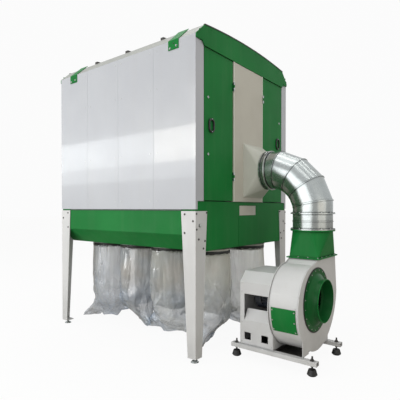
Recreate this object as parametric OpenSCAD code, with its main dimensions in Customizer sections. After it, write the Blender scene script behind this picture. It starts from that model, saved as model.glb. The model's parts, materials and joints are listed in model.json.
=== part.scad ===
// Modular bag-filter dust collector: a filter cabinet on legs over rows of collection
// bags, fed by a centrifugal fan through a mitred elbow on its end.
// X runs along the cabinet towards the fan, Y across it, Z up from the floor.

/* [Cabinet] */
// Number of filter modules along the cabinet
module_count = 4; // [2:1:6]
// Length of one filter module
module_l = 550; // [500:10:700]
// Width over the side panels
cab_w = 1900; // [1850:10:2200]
// Thickness of the side panels, eaves and roof, measured level
panel_t = 30; // [15:1:40]
// Gap between neighbouring side panels
panel_gap = 3; // [1:0.5:6]
// Height of the side panels' lower edge above the floor
panel_z = 1465; // [1440:5:1600]
// Height of the fold between wall and eave
wall_top_z = 3110; // [2900:10:3500]
// Level run of the sloping eave
eave_run = 127; // [90:1:180]
// Rise of the sloping eave
eave_rise = 118; // [60:1:160]
// Rise of the arched roof above its edges
roof_rise = 43; // [20:1:90]
// Width of the ribs over the roof joints
seam_w = 40; // [20:1:80]
// Height of the ribs over the roof joints
seam_h = 26; // [10:1:50]

/* [End face] */
// Width of the pale centre panel
centre_w = 622; // [580:2:700]
// Amount the centre panel stands proud of the doors
centre_proud = 8; // [2:0.5:8]
// Width of the side panels' return round the corner
strip_w = 125; // [90:1:180]
// Corner radius at the top of the return
strip_round = 50; // [10:1:55]
// Thickness of the green end cap
cap_t = 12; // [8:0.5:20]
// Depth of the end cap's lower edge below the eave fold
cap_drop = 82; // [60:1:140]
// Depth of the returns' top below the eave fold
strip_drop = 42; // [20:1:55]
// Height of the end wall's top above the side panels' lower edge
end_sill = 79; // [40:1:140]
// Width and depth of the posts behind the end panels
post_d = 40; // [20:1:60]
// Lap of a post behind the edge of a door
post_lap = 20; // [8:1:40]

/* [Doors] */
// Thickness of a door
door_t = 40; // [25:1:60]
// Gap round a door
door_gap = 8; // [8:0.5:12]
// Gap between a closed door and the posts
seal_gap = 5; // [5:0.5:10]
// Radius of the hinge knuckles
hinge_r = 7; // [6:0.5:7]
// Radius of the hinge pin
hinge_pin_r = 4; // [3:0.5:5]
// Running clearance round the hinge pin
hinge_fit = 0.06; // [0.02:0.01:0.1]
// Height of one hinge
hinge_h = 90; // [60:1:140]
// Distance of the hinge axis in front of the doors
hinge_out = 16; // [16:0.5:24]
// Distance of a hinge's middle from the door's end
hinge_inset = 258; // [120:1:400]
// Play between neighbouring hinge knuckles
hinge_play = 1; // [0.5:0.1:2]
// Width of the oval grip
handle_w = 92; // [60:1:110]
// Height of the oval grip
handle_h = 140; // [115:1:180]
// Amount the grip stands out from the door
handle_t = 16; // [8:0.5:20]
// Width of the grip's rim
handle_rim = 17; // [10:0.5:24]
// Distance of the handle's middle from the door's free edge
handle_edge = 110; // [80:1:160]

/* [Hopper] */
// Thickness of the hopper's folded plates
hopper_t = 10; // [4:0.5:16]
// Depth of the fold in the hopper's sides below the panels
kink_drop = 246; // [180:1:300]
// Depth of the hopper below the panels
hopper_h = 404; // [360:1:460]
// Inward run of the hopper's sloping sides
hopper_inset = 150; // [80:1:190]
// Thickness of the hopper's floor
floor_t = 6; // [3:0.5:12]

/* [Bags] */
// Distance of each row of bags from the middle
bag_row_y = 380; // [300:1:430]
// Radius of the outlet collars
collar_r = 230; // [200:1:240]
// Wall of the outlet collars
collar_t = 4; // [2:0.5:8]
// Length of the outlet collars
collar_h = 80; // [60:1:120]
// Height of the clamp straps
strap_h = 35; // [20:1:45]
// Thickness of the clamp straps
strap_t = 6; // [3:0.5:10]
// Collar left showing above the strap
strap_drop = 33; // [10:1:40]
// Radius of the film tube that the bags are cut from
film_r = 245; // [235:1:250]
// Clearance of the bags above the floor
bag_clear = 40; // [20:1:200]
// Height of a bag's waist above the floor
waist_z = 320; // [250:1:500]
// Radius of a bag at its waist
waist_r = 208; // [190:1:228]
// Thickness of the folded film at the foot seam
seam_fold = 14; // [8:1:24]
// Height of the foot seam
foot_seam_h = 12; // [6:1:20]

/* [Legs] */
// Thickness of the folded leg plates
leg_t = 8; // [5:0.5:12]
// Gap between a leg's top and the side panels
leg_gap = 17; // [5:1:40]
// Width of each leg flange at the top
leg_top_w = 180; // [120:1:240]
// Width of each leg flange at the bottom
leg_bottom_w = 98; // [90:1:140]
// Height of the levelling feet
foot_h = 42; // [30:1:80]
// Radius of the levelling feet
foot_r = 40; // [25:1:44]
// Radius of the levelling studs
foot_stud_r = 10; // [6:0.5:14]

/* [Roof brackets] */
// Width of a roof bracket
bracket_w = 136; // [80:1:200]
// Thickness of a roof bracket
bracket_t = 6; // [4:0.5:10]
// Length of the tab on the wall
bracket_tab = 91; // [60:1:150]
// Length of the free end beyond the eave
bracket_over = 40; // [10:1:80]

/* [Duct] */
// Outside radius of the round duct
duct_r = 200; // [180:1:210]
// Position of the duct across the cabinet
duct_y = 90; // [60:1:90]
// Height of the duct where it leaves the cabinet
duct_z = 1891; // [1870:1:1950]
// Distance of the falling duct from the end face
duct_x = 717; // [700:1:760]
// Centreline radius of the elbow
elbow_r = 462; // [430:1:480]
// Number of mitre joints in the elbow
gore_joints = 4; // [3:1:6]
// Length of the inlet hood
hood_l = 182; // [120:1:190]
// Width of the inlet hood on the cabinet
hood_w = 424; // [420:1:430]
// Height of the inlet hood on the cabinet
hood_h = 596; // [480:1:620]
// Height of the raised seams and beads
bead_h = 5; // [2:0.5:10]
// Width of the raised seams and beads
bead_w = 8; // [4:0.5:14]
// Overhang of the duct flanges
flange_out = 22; // [12:1:30]
// Thickness of the duct flanges
flange_t = 12; // [6:0.5:16]
// Length of the straight duct under the elbow
drop_l = 173; // [120:1:230]
// Height of the transition from square to round
transition_h = 278; // [200:1:320]

/* [Fan] */
// Width of the fan casing along its shaft
fan_w = 300; // [280:1:360]
// Position of the shaft across the cabinet
shaft_y = -185; // [-210:1:-170]
// Height of the shaft
shaft_z = 600; // [590:1:620]
// Radius of the scroll where it begins
scroll_r0 = 335; // [325:1:345]
// Growth of the scroll's radius in a quarter turn
scroll_growth = 76; // [60:1:80]
// Width of the outlet across the casing
outlet_w = 460; // [420:1:480]
// Thickness of the scroll band and casing plates
casing_t = 6; // [3:0.5:10]
// Overhang of the casing plates beyond the scroll
casing_rim = 12; // [6:1:20]
// Width of the casing's pedestals
pedestal_w = 140; // [90:1:180]
// Radius of the inlet's bolted ring
ring_r = 298; // [270:1:310]
// Thickness of the inlet's bolted ring
ring_t = 8; // [5:0.5:14]
// Outside radius of the inlet spigot
inlet_r = 200; // [180:1:205]
// Wall of the inlet spigot
inlet_wall = 4; // [2:0.5:8]
// Length of the inlet from the casing to its mouth
inlet_l = 96; // [80:1:140]
// Length of the inlet's cone
cone_l = 40; // [20:1:60]
// Reach of the inlet's nozzle behind the casing plate
nozzle_l = 18; // [6:1:24]
// Thickness of the access cover on the scroll
hatch_t = 5; // [3:0.5:10]
// Angle of the access cover's upper edge round the shaft
hatch_from = 184; // [182:1:196]
// Angle that the access cover spans
hatch_span = 32; // [20:1:40]
// Margin beside the access cover
hatch_margin = 30; // [15:1:60]

/* [Impeller] */
// Radius of the impeller
wheel_r = 285; // [260:1:295]
// Radius of the impeller's eye
eye_r = 192; // [170:1:200]
// Number of blades
blade_count = 10; // [6:1:14]
// Thickness of the blades and discs
blade_t = 5; // [3:0.5:8]
// Width of the blades along the shaft
blade_w = 130; // [90:1:150]
// Radius of each blade's curve
blade_bend = 180; // [160:1:260]
// Radius of the hub
hub_r = 55; // [35:1:70]
// Length of the hub
hub_l = 70; // [40:1:90]
// Radius of the shaft
shaft_r = 21; // [14:0.5:28]
// Gap between the impeller and the casing
wheel_gap = 20; // [10:1:30]

/* [Motor] */
// Radius of the motor's body
motor_r = 130; // [100:1:150]
// Length of the motor's body
motor_l = 270; // [200:1:300]
// Radius of the motor's flange
motor_flange_r = 175; // [155:1:200]
// Thickness of the motor's flange
motor_flange_t = 18; // [10:1:24]
// Number of cooling fins
fin_count = 24; // [12:1:36]
// Height of the cooling fins
fin_h = 20; // [10:1:30]
// Thickness of the cooling fins
fin_t = 4; // [2:0.5:6]
// Length of the motor cover along the shaft
cover_l = 361; // [340:1:380]
// Width of the motor cover
cover_w = 620; // [560:1:640]
// Height of the motor cover's top above the floor
cover_top_z = 845; // [800:1:900]
// Level and upright size of the cover's chamfers
cover_chamfer = 98; // [40:1:140]
// Wall of the motor cover
cover_t = 4; // [3:0.5:8]
// Width of the cover's window
window_w = 262; // [200:1:280]
// Height of the window's top edge
window_top_z = 630; // [600:1:680]
// Height of the window's bottom edge in the wall
window_bottom_z = 372; // [350:1:420]
// Height of the sill's inner edge
sill_z = 478; // [440:1:520]
// Inward run of the sloping sill
sill_run = 62; // [40:1:80]
// Side of the square openings low in the cover
port_w = 70; // [40:1:90]
// Height of the square openings' lower edge
port_z = 181; // [150:1:220]
// Distance between the square openings' middles
port_pitch = 188; // [120:1:220]

/* [Fan base] */
// Width of the base rails
rail_w = 60; // [40:1:80]
// Height of the base rails
rail_h = 40; // [30:1:50]
// Wall of the base rails
rail_t = 5; // [3:0.5:8]
// Distance between the two rails' middles
rail_pitch = 628; // [620:1:700]
// Distance of the rails' near end from the end face
rail_from = 120; // [90:1:160]
// Distance of the rails' far end from the end face
rail_to = 1005; // [990:1:1060]
// Distance of the base plate from the casing's front
plate_inset = 60; // [20:1:120]
// Distance of a foot's middle from the rail's end
mount_inset = 50; // [47:1:80]
// Height of the rubber feet
rubber_h = 55; // [40:1:70]
// Radius of the rubber feet at the floor
rubber_r = 46; // [35:1:46]
// Radius of the rubber feet at the top
rubber_top_r = 33; // [20:1:34]
// Size of the drawn-in lower edge of the rubber feet
rubber_edge = 12; // [6:1:20]
// Width of the rim on top of the rubber feet
dish_rim = 7; // [4:1:9]
// Depth of the dish inside that rim
dish_depth = 6; // [2:1:12]
// Length of stud between the rubber feet and the rails
stud_l = 35; // [10:1:60]
// Radius of the mounting studs
stud_r = 8; // [5:0.5:12]

/* [Hidden] */
$fn = 96;

panel_colour = [0.82, 0.82, 0.81];
green = [0.14, 0.50, 0.25];
pale = [0.72, 0.70, 0.65];
light_grey = [0.84, 0.84, 0.83];
galvanised = [0.70, 0.72, 0.74];
film = [0.86, 0.88, 0.90];
black = [0.08, 0.08, 0.08];
dark_grey = [0.22, 0.23, 0.26];

// The box over cabinet and fan is centred on the origin
cab_l = module_count * module_l;
cab_x = (cap_t - rail_to) / 2;
fan_end_x = cab_x + cab_l / 2;
blind_end_x = cab_x - cab_l / 2;

// Cabinet
side_y = cab_w / 2;
inner_y = side_y - panel_t;
roof_edge_y = side_y - eave_run;
roof_edge_z = wall_top_z + eave_rise;
roof_drop = eave_rise * panel_t / eave_run;
roof_r = (roof_edge_y ^ 2 + roof_rise ^ 2) / (2 * roof_rise);
roof_half = asin(roof_edge_y / roof_r);
roof_steps = 16;

// End face
end_t = door_t + seal_gap;
strip_top_z = wall_top_z - strip_drop;
cap_bottom_z = wall_top_z - cap_drop;
sill_top_z = panel_z + end_sill;
strip_y = side_y - strip_w;
door_y0 = centre_w / 2 + door_gap;
door_y1 = strip_y - door_gap;
door_z0 = sill_top_z + door_gap;
door_z1 = cap_bottom_z - door_gap;
hinge_x = fan_end_x + hinge_out;
hinge_y = centre_w / 2 + door_gap / 2;
hinge_heights = [door_z0 + hinge_inset, door_z1 - hinge_inset];
hinge_leaf = door_gap / 2 - 1;

// Hopper, bags and legs
hopper_y = side_y - leg_t;
kink_z = panel_z - kink_drop;
hopper_z = panel_z - hopper_h;
hopper_end_t = leg_t + hopper_t;
collar_top_z = hopper_z - floor_t;
collar_z = collar_top_z - collar_h;
foot_seam_l = PI * film_r;
front_turns = [60, 20, 32, 105];
rear_turns = [55, 25, 48, 35];
leg_top_z = panel_z - leg_gap;

// Duct and fan
elbow_x = fan_end_x + duct_x - elbow_r;
elbow_z = duct_z - elbow_r;
hood_x = fan_end_x + centre_proud;
fall_x = fan_end_x + duct_x;
gore_angle = 90 / gore_joints;
transition_z = elbow_z - drop_l;
outlet_z = transition_z - transition_h;
fan_back_x = fall_x - fan_w / 2;
fan_front_x = fall_x + fan_w / 2;
outlet_y0 = duct_y - outlet_w / 2;
outlet_y1 = duct_y + outlet_w / 2;
scroll_from = 98;
scroll_to = 360;
scroll_step = 2;
wheel_front_x = fan_front_x - casing_t - wheel_gap;
wheel_back_x = wheel_front_x - blade_w - 2 * blade_t;

// Motor cover and base
rail_z = rubber_h + stud_l;
rail_top_z = rail_z + rail_h;
cover_x = fan_back_x - cover_l;
cover_y0 = shaft_y - cover_w / 2;
cover_y1 = shaft_y + cover_w / 2;
window_x = cover_x + (cover_l - window_w) / 2;
rail_ys = [shaft_y - rail_pitch / 2, shaft_y + rail_pitch / 2];
mount_xs = [fan_end_x + rail_from + mount_inset, fan_end_x + rail_to - mount_inset];
rail_l = rail_to - rail_from;
back_foot_w = rail_pitch - pedestal_w;

// Small overlap that lets a cutting shape pass right through
cut = 1;

// A flat shape in Y and Z, extruded along X
module along_x(x0, length) {
  translate([x0, 0, 0]) rotate([90, 0, 90]) linear_extrude(length) children();
}

// A flat shape in X and Z, extruded along Y
module along_y(y0, length) {
  translate([0, y0 + length, 0]) rotate([90, 0, 0]) linear_extrude(length) children();
}

// The same shape on the front and the rear side
module both_sides() {
  children();
  mirror([0, 1, 0]) children();
}

// A fan-end shape carried over to the blind end
module at_blind_end() {
  translate([2 * cab_x, 0, 0]) mirror([1, 0, 0]) children();
}

// A fan-end shape at both ends
module both_ends() {
  children();
  at_blind_end() children();
}

// A rectangle with its far top corner rounded
module rounded_corner(w, h, r) {
  square([w, h - r]);
  square([w - r, h]);
  translate([w - r, h - r]) circle(r);
}

// An upright shape with round ends, centred
module stadium(w, h) {
  square([w, h - w], center = true);
  for (s = [-1, 1]) translate([0, s * (h - w) / 2]) circle(d = w);
}

// Corner of a folded plate of thickness t at p, between faces with normals n1 and n2
function miter(p, n1, n2, t) = p + t * (n1 + n2) / (1 + n1 * n2);

// Outline of a strip of thickness t along three points, thickened to its left
function folded_strip(p, t) =
  let (d1 = (p[1] - p[0]) / norm(p[1] - p[0]))
  let (d2 = (p[2] - p[1]) / norm(p[2] - p[1]))
  let (n1 = [-d1[1], d1[0]])
  let (n2 = [-d2[1], d2[0]])
  concat(p, [p[2] + t * n2, miter(p[1], n1, n2, t), p[0] + t * n1]);

function reversed(list) = [for (i = [len(list) - 1:-1:0]) list[i]];

// Points along the arched roof's top, raised by lift
function roof_arc(lift) =
  [for (k = [0:roof_steps])
    let (a = roof_half * (2 * k / roof_steps - 1))
    [roof_r * sin(a), roof_edge_z + roof_rise - roof_r * (1 - cos(a)) + lift]];

// Middle of the bag outlet in module i
function module_mid(i) = blind_end_x + (i - 0.5) * module_l;

// Return of a side panel round the corner of the fan end
module corner_return() {
  along_x(fan_end_x - end_t, end_t)
    translate([-inner_y, sill_top_z])
      rounded_corner(strip_w - panel_t, strip_top_z - sill_top_z, strip_round);
}

// Cladding panel of module i on the front side; the end ones fold round the corner
module side_panel(i) {
  x0 = blind_end_x + (i - 1) * module_l + (i > 1 ? panel_gap / 2 : 0);
  x1 = blind_end_x + i * module_l - (i < module_count ? panel_gap / 2 : 0);
  color(panel_colour) {
    translate([x0, -side_y, panel_z]) cube([x1 - x0, panel_t, wall_top_z - panel_z]);
    if (i == module_count) corner_return();
    if (i == 1) at_blind_end() corner_return();
  }
}

module front_panel(i) { side_panel(i); }

module rear_panel(i) { mirror([0, 1, 0]) side_panel(i); }

// Arched sheet between the two eaves
module roof() {
  color(panel_colour)
    along_x(blind_end_x, cab_l)
      polygon(concat(roof_arc(0), reversed(roof_arc(-roof_drop))));
}

// Sloping strips from the walls up to the roof
module eaves() {
  color(panel_colour)
    both_sides()
      along_x(blind_end_x, cab_l)
        polygon([[-side_y, wall_top_z], [-roof_edge_y, roof_edge_z],
                 [-roof_edge_y, roof_edge_z - roof_drop], [-inner_y, wall_top_z]]);
}

// Ribs over the joints between the modules' roof sheets
module roof_seams() {
  color(dark_grey)
    for (i = [1:module_count - 1])
      along_x(blind_end_x + i * module_l - seam_w / 2, seam_w)
        polygon(concat(roof_arc(seam_h), reversed(roof_arc(0))));
}

// Green plate that closes the top of an end, cut out over the rounded corner returns
module end_cap() {
  color(green)
    along_x(fan_end_x, cap_t)
      difference() {
        polygon(concat([[-side_y, cap_bottom_z], [-side_y, wall_top_z]], roof_arc(0),
                       [[side_y, wall_top_z], [side_y, cap_bottom_z]]));
        both_corners()
          translate([-side_y - cut, cap_bottom_z - strip_round])
            rounded_corner(strip_w + cut, strip_top_z - cap_bottom_z + strip_round, strip_round);
      }
}

// The same flat shape at the left and the right of the end face
module both_corners() {
  children();
  mirror([1, 0, 0]) children();
}

module fan_end_cap() { end_cap(); }

module blind_end_cap() { at_blind_end() end_cap(); }

// Folded plates that tie the walls to the roof over the end modules
module roof_brackets() {
  slope = [eave_run, eave_rise] / norm([eave_run, eave_rise]);
  path = [[-side_y, wall_top_z - bracket_tab], [-side_y, wall_top_z],
          [-roof_edge_y, roof_edge_z] + bracket_over * slope];
  color(green)
    both_sides()
      for (i = [1, module_count])
        along_x(module_mid(i) - bracket_w / 2, bracket_w)
          polygon(folded_strip(path, bracket_t));
}

// Pale panel in the middle of an end
module centre_panel() {
  color(pale)
    translate([fan_end_x - end_t, -centre_w / 2, sill_top_z])
      cube([end_t + centre_proud, centre_w, cap_bottom_z - sill_top_z]);
}

module inlet_panel() { centre_panel(); }

module blind_end_centre_panel() { at_blind_end() centre_panel(); }

// Upright slab on the rear half of an end, as wide as a door
module end_leaf(t) {
  translate([fan_end_x - t, door_y0, door_z0])
    cube([t, door_y1 - door_y0, door_z1 - door_z0]);
}

// Door of the rear half, with the middle knuckle of each hinge
module door() {
  knuckle = hinge_h / 3 - 2 * hinge_play;
  color(green)
    difference() {
      union() {
        end_leaf(door_t);
        for (z = hinge_heights) {
          translate([fan_end_x - door_t / 2, door_y0 - hinge_leaf, z - knuckle / 2])
            cube([door_t / 2 + hinge_out, hinge_leaf, knuckle]);
          translate([hinge_x, hinge_y, z - knuckle / 2]) cylinder(r = hinge_r, h = knuckle);
        }
      }
      for (z = hinge_heights)
        translate([hinge_x, hinge_y, z - hinge_h / 2])
          cylinder(r = hinge_pin_r + hinge_fit, h = hinge_h);
    }
}

module front_door() { mirror([0, 1, 0]) door(); }

module rear_door() { door(); }

// Oval ring grip on the face of the rear door
module door_handle() {
  color(black)
    translate([0, door_y1 - handle_edge, (door_z0 + door_z1) / 2])
      along_x(fan_end_x, handle_t)
        difference() {
          stadium(handle_w, handle_h);
          stadium(handle_w - 2 * handle_rim, handle_h - 2 * handle_rim);
        }
}

module front_door_handle() { mirror([0, 1, 0]) door_handle(); }

module rear_door_handle() { door_handle(); }

// Fixed halves of the hinges: pin, outer knuckles and the leaf on the centre panel
module door_hinges() {
  knuckle = hinge_h / 3;
  color(galvanised)
    both_sides()
      for (z = hinge_heights) {
        translate([hinge_x, hinge_y, z - hinge_h / 2]) cylinder(r = hinge_pin_r, h = hinge_h);
        for (low = [z - hinge_h / 2, z + hinge_h / 2 - knuckle]) {
          translate([hinge_x, hinge_y, low]) cylinder(r = hinge_r, h = knuckle);
          translate([fan_end_x - door_t / 2, centre_w / 2, low])
            cube([door_t / 2 + hinge_out, hinge_leaf, knuckle]);
        }
      }
}

// Uprights behind the end panels, which the doors close against
module end_posts() {
  height = cap_bottom_z - sill_top_z;
  color(light_grey)
    both_ends()
      both_sides()
        translate([fan_end_x - end_t - post_d, 0, sill_top_z]) {
          translate([0, door_y1 - post_lap, 0]) cube([post_d, inner_y - door_y1 + post_lap, height]);
          translate([0, door_y0 - post_d, 0]) cube([post_d, post_d + post_lap, height]);
        }
}

// Fixed green panels of the blind end
module blind_end_panels() {
  color(green)
    at_blind_end()
      both_sides()
        end_leaf(end_t);
}

// Folded long sides of the hopper
module hopper_sides() {
  color(green)
    both_sides()
      along_x(blind_end_x + hopper_end_t, cab_l - 2 * hopper_end_t)
        polygon(folded_strip([[-hopper_y + hopper_inset, hopper_z], [-hopper_y, kink_z],
                              [-hopper_y, panel_z]], -hopper_t));
}

// Upright end walls of the hopper
module hopper_ends() {
  color(green)
    both_ends()
      along_x(fan_end_x - hopper_end_t, hopper_t)
        polygon([[-hopper_y + hopper_inset, hopper_z], [hopper_y - hopper_inset, hopper_z],
                 [hopper_y, kink_z], [hopper_y, panel_z], [inner_y, panel_z],
                 [inner_y, sill_top_z], [-inner_y, sill_top_z], [-inner_y, panel_z],
                 [-hopper_y, panel_z], [-hopper_y, kink_z]]);
}

// Places of the bag outlets, row -1 in front and row 1 behind
module at_outlets(rows) {
  for (row = rows)
    for (i = [1:module_count])
      translate([module_mid(i), row * bag_row_y, 0]) children();
}

// Floor of the hopper with its bag outlets
module hopper_floor() {
  color(green)
    difference() {
      translate([blind_end_x + leg_t, hopper_inset - hopper_y, collar_top_z])
        cube([cab_l - 2 * leg_t, 2 * (hopper_y - hopper_inset), floor_t]);
      at_outlets([-1, 1])
        translate([0, 0, collar_top_z - cut]) cylinder(r = collar_r - collar_t, h = floor_t + 2 * cut);
    }
}

// A ring of height h between two radii
module ring(outer, inner, h) {
  difference() {
    cylinder(r = outer, h = h);
    translate([0, 0, -cut]) cylinder(r = inner, h = h + 2 * cut);
  }
}

// Short tubes under the floor that carry the bags
module bag_collars() {
  color(galvanised)
    at_outlets([-1, 1])
      translate([0, 0, collar_z]) ring(collar_r, collar_r - collar_t, collar_h);
}

// Straps that clamp the bags to their collars
module bag_straps() {
  color(black)
    at_outlets([-1, 1])
      translate([0, 0, collar_top_z - strap_drop - strap_h])
        ring(collar_r + strap_t, collar_r, strap_h);
}

// One collection bag: a film tube that hangs from its collar and ends in a straight seam
module bag(turn) {
  lap = 4;
  translate([0, 0, waist_z]) cylinder(r1 = waist_r, r2 = collar_r, h = collar_z - waist_z);
  hull() {
    translate([0, 0, waist_z + lap]) cylinder(r = waist_r - lap, h = lap, $fn = 48);
    rotate(turn)
      translate([-foot_seam_l / 2, -seam_fold / 2, bag_clear])
        cube([foot_seam_l, seam_fold, foot_seam_h]);
  }
}

// A row of bags, each with its seam turned its own way
module bag_row(row, turns) {
  color(film)
    for (i = [1:module_count])
      translate([module_mid(i), row * bag_row_y, 0]) bag(turns[(i - 1) % len(turns)]);
}

module front_bags() { bag_row(-1, front_turns); }

module rear_bags() { bag_row(1, rear_turns); }

// Tapered flange of a leg, its upright edge on the axis
module leg_flange() {
  polygon([[0, foot_h], [leg_bottom_w, foot_h], [leg_top_w, leg_top_z], [0, leg_top_z]]);
}

// Folded leg with its foot plate, at the front corner of the fan end
module leg() {
  along_y(-side_y, leg_t) translate([fan_end_x, 0]) mirror([1, 0]) leg_flange();
  along_x(fan_end_x - leg_t, leg_t) translate([-side_y, 0]) leg_flange();
  translate([fan_end_x - leg_bottom_w, -side_y, foot_h]) cube([leg_bottom_w, leg_bottom_w, leg_t]);
}

module legs() { color(light_grey) both_ends() both_sides() leg(); }

// Screwed feet under the legs
module levelling_feet() {
  base_h = foot_h / 3;
  nut_h = foot_h / 4;
  color(dark_grey)
    both_ends()
      both_sides()
        translate([fan_end_x - leg_bottom_w / 2, leg_bottom_w / 2 - side_y, 0]) {
          cylinder(r1 = foot_r, r2 = foot_r * 0.7, h = base_h);
          cylinder(r = foot_stud_r, h = foot_h);
          translate([0, 0, foot_h - nut_h]) cylinder(r = 1.8 * foot_stud_r, h = nut_h, $fn = 6);
        }
}

// Hood on the cabinet that narrows to the round duct
module inlet_hood() {
  face = 2;
  color(pale)
    hull() {
      translate([hood_x, duct_y - hood_w / 2, duct_z - hood_h / 2]) cube([face, hood_w, hood_h]);
      translate([hood_x + hood_l - face, duct_y, duct_z])
        rotate([0, 90, 0]) cylinder(r = duct_r, h = face, $fn = 64);
    }
}

// Short round duct between hood and elbow, with a flange at each end and a middle bead
module hood_collar() {
  x0 = hood_x + hood_l;
  length = elbow_x - x0;
  color(galvanised)
    translate([x0, duct_y, duct_z])
      rotate([0, 90, 0]) {
        cylinder(r = duct_r, h = length);
        for (z = [0, length - flange_t]) translate([0, 0, z]) cylinder(r = duct_r + flange_out / 2, h = flange_t);
        translate([0, 0, (length - bead_w) / 2]) cylinder(r = duct_r + bead_h, h = bead_w);
      }
}

// Straight piece of the elbow between two mitre planes, before and after angle a
module gore(a, before, after) {
  reach = elbow_r + 2 * duct_r;
  length = 2 * reach * tan(gore_angle / 2);
  rotate([0, a, 0])
    intersection() {
      translate([-length / 2, 0, elbow_r]) rotate([0, 90, 0]) cylinder(r = duct_r, h = length);
      along_y(-2 * duct_r, 4 * duct_r)
        polygon([[0, 0], [-reach * tan(before), reach], [reach * tan(after), reach]]);
    }
}

// Mitred elbow from the hood down to the fan, with raised seams
module elbow() {
  half = gore_angle / 2;
  color(galvanised)
    translate([elbow_x, duct_y, elbow_z]) {
      for (k = [0:gore_joints])
        gore(k * gore_angle, k > 0 ? half : 0, k < gore_joints ? half : 0);
      for (k = [1:gore_joints])
        rotate([0, (k - 0.5) * gore_angle, 0])
          translate([-bead_w / 2, 0, elbow_r / cos(half)])
            rotate([0, 90, 0]) cylinder(r = duct_r / cos(half) + bead_h, h = bead_w);
    }
}

// Straight flanged duct under the elbow
module drop_duct() {
  color(galvanised)
    translate([fall_x, duct_y, transition_z]) {
      cylinder(r = duct_r, h = drop_l);
      for (z = [0, drop_l - flange_t]) translate([0, 0, z]) cylinder(r = duct_r + flange_out, h = flange_t);
      translate([0, 0, (drop_l - bead_w) / 2]) cylinder(r = duct_r + bead_h, h = bead_w);
    }
}

// Flanged piece from the fan's square outlet to the round duct
module transition() {
  face = 2;
  color(green)
    translate([fall_x, duct_y, outlet_z]) {
      hull() {
        translate([-fan_w / 2, -outlet_w / 2, 0]) cube([fan_w, outlet_w, face]);
        translate([0, 0, transition_h - face]) cylinder(r = duct_r, h = face, $fn = 64);
      }
      translate([-fan_w / 2 - flange_out, -outlet_w / 2 - flange_out, 0])
        cube([fan_w + 2 * flange_out, outlet_w + 2 * flange_out, flange_t]);
      translate([0, 0, transition_h - flange_t]) cylinder(r = duct_r + flange_out, h = flange_t);
    }
}

// Radius of the scroll at angle a round the shaft, from +Y over +Z
function scroll_radius(a) = scroll_r0 + scroll_growth * (a - scroll_from) / 90;

// Outline of the scroll with its outlet, grown outwards by grow, up to height top
function scroll_outline(grow, top) =
  concat([for (a = [scroll_from:scroll_step:scroll_to])
           [shaft_y, shaft_z] + (scroll_radius(a) + grow) * [cos(a), sin(a)]],
         [[outlet_y1 + grow, top], [outlet_y0 - grow, top]]);

// Curved sheet round the impeller, open at the outlet
module scroll_band() {
  color(light_grey)
    along_x(fan_back_x + casing_t, fan_w - 2 * casing_t)
      difference() {
        polygon(scroll_outline(0, outlet_z));
        polygon(scroll_outline(-casing_t, outlet_z + cut));
      }
}

// Side plate of the casing with a round hole and a pedestal of width foot_w on each rail
module casing_plate(x, hole_r, foot_w) {
  along_x(x, casing_t)
    difference() {
      union() {
        polygon(scroll_outline(casing_rim, outlet_z));
        for (s = [-1, 1])
          translate([shaft_y + s * (rail_pitch - foot_w) / 2 - foot_w / 2, rail_top_z])
            square([foot_w, shaft_z - inlet_r - rail_top_z]);
      }
      translate([shaft_y, shaft_z]) circle(hole_r);
    }
}

// The front plate stands on two pedestals, and those of the back plate meet in the middle
module casing_plates() {
  color(light_grey) {
    casing_plate(fan_front_x - casing_t, inlet_r, pedestal_w);
    casing_plate(fan_back_x, hub_r, back_foot_w);
  }
}

// A shape about the Z axis, turned to lie along the shaft from x
module on_shaft(x) {
  translate([x, shaft_y, shaft_z]) rotate([0, 90, 0]) children();
}

// Bolted ring, cone and spigot of the fan's inlet, and the nozzle that leads into the wheel
module fan_inlet() {
  bore_r = inlet_r - inlet_wall;
  cone_r = (ring_r + inlet_r) / 2;
  nozzle_r = eye_r - inlet_wall;
  nozzle_x = -casing_t - nozzle_l;
  color(green)
    on_shaft(fan_front_x)
      rotate_extrude()
        polygon([[bore_r, 0], [nozzle_r - inlet_wall, nozzle_x], [nozzle_r, nozzle_x],
                 [inlet_r - cut, 0], [ring_r, 0], [ring_r, ring_t], [cone_r, ring_t],
                 [inlet_r, ring_t + cone_l], [inlet_r, inlet_l], [bore_r, inlet_l]]);
}

// Bolted cover on the front of the scroll band
module scroll_hatch() {
  angles = [hatch_from:scroll_step:hatch_from + hatch_span];
  function arc(grow) =
    [for (a = angles) [shaft_y, shaft_z] + (scroll_radius(a) + grow) * [cos(a), sin(a)]];
  color(green)
    along_x(fan_back_x + hatch_margin, fan_w - 2 * hatch_margin)
      polygon(concat(arc(0), reversed(arc(hatch_t))));
}

// Backward-curved blade from the eye to the rim
module blade() {
  intersection() {
    difference() {
      circle(wheel_r - blade_t);
      circle(eye_r + blade_t);
    }
    translate([eye_r, -blade_bend])
      difference() {
        circle(blade_bend);
        circle(blade_bend - blade_t);
        translate([-4 * blade_bend, -2 * blade_bend]) square(4 * blade_bend);
      }
  }
}

// Impeller on its shaft: back disc, hub, blades and front ring
module impeller() {
  shaft_l = wheel_back_x - fan_back_x + hub_l + 2 * blade_t;
  color(dark_grey)
    on_shaft(wheel_back_x) {
      cylinder(r = wheel_r, h = blade_t);
      cylinder(r = hub_r, h = hub_l);
      translate([0, 0, fan_back_x - wheel_back_x]) cylinder(r = shaft_r, h = shaft_l);
      translate([0, 0, blade_t])
        linear_extrude(blade_w)
          for (k = [0:blade_count - 1]) rotate(k * 360 / blade_count) blade();
      translate([0, 0, blade_t + blade_w]) ring(wheel_r, eye_r, blade_t);
    }
}

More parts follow.
